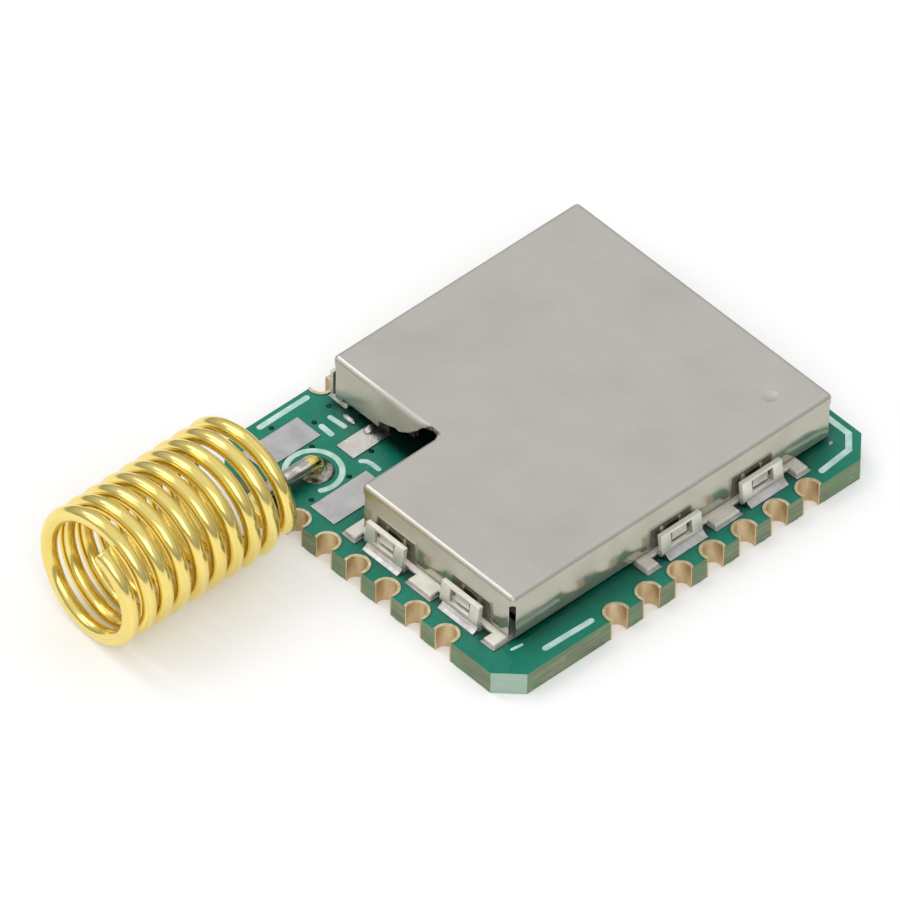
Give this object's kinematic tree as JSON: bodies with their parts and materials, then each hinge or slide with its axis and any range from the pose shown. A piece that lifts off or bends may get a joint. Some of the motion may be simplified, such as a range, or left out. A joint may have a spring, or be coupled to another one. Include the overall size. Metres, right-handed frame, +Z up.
{
  "type": "lora module",
  "caption": "Surface-mount LoRa radio module: castellated green circuit board, L-shaped steel shield can in spring clips, coiled gold wire antenna off one edge.",
  "frame": {"origin": "centre of the board's underside", "axes": "+X away from the antenna along the board's length, +Y to the back edge, +Z up from the solder face"},
  "size_m": [0.0222, 0.013, 0.0044],
  "materials": {
    "solder_mask": "gloss",
    "gold_plating": "satin",
    "tinned_pads": "satin",
    "solder": "gloss",
    "gold_wire": "polished",
    "can_metal": "satin",
    "clip_metal": "satin",
    "chip_plastic": "matte",
    "ceramic_part": "matte",
    "lid_metal": "satin",
    "capacitor_ceramic": "satin",
    "inductor_body": "satin",
    "resistor_body": "satin"
  },
  "bodies": {
    "root": {"circuit_board": "solder_mask", "front_castellations": "gold_plating", "left_castellations": "gold_plating", "back_castellations": "gold_plating", "coax_ground_pads": "tinned_pads", "coax_signal_pad": "tinned_pads", "antenna_via": "tinned_pads", "antenna_solder": "solder", "helical_antenna": "gold_wire", "shield_can": "can_metal", "front_clip": "clip_metal", "left_clip": "clip_metal", "back_clip": "clip_metal", "right_clip": "clip_metal", "front_clip_land": "solder", "left_clip_land": "solder", "back_clip_land": "solder", "right_clip_land": "solder", "component_lands": "solder", "radio_chip": "chip_plastic", "rf_switch": "chip_plastic", "harmonic_filter": "ceramic_part", "reference_oscillator": "lid_metal", "clock_crystal": "lid_metal", "feed_capacitor": "capacitor_ceramic", "inductors": "inductor_body", "capacitors": "capacitor_ceramic", "resistors": "resistor_body"}
  },
  "joints": []
}
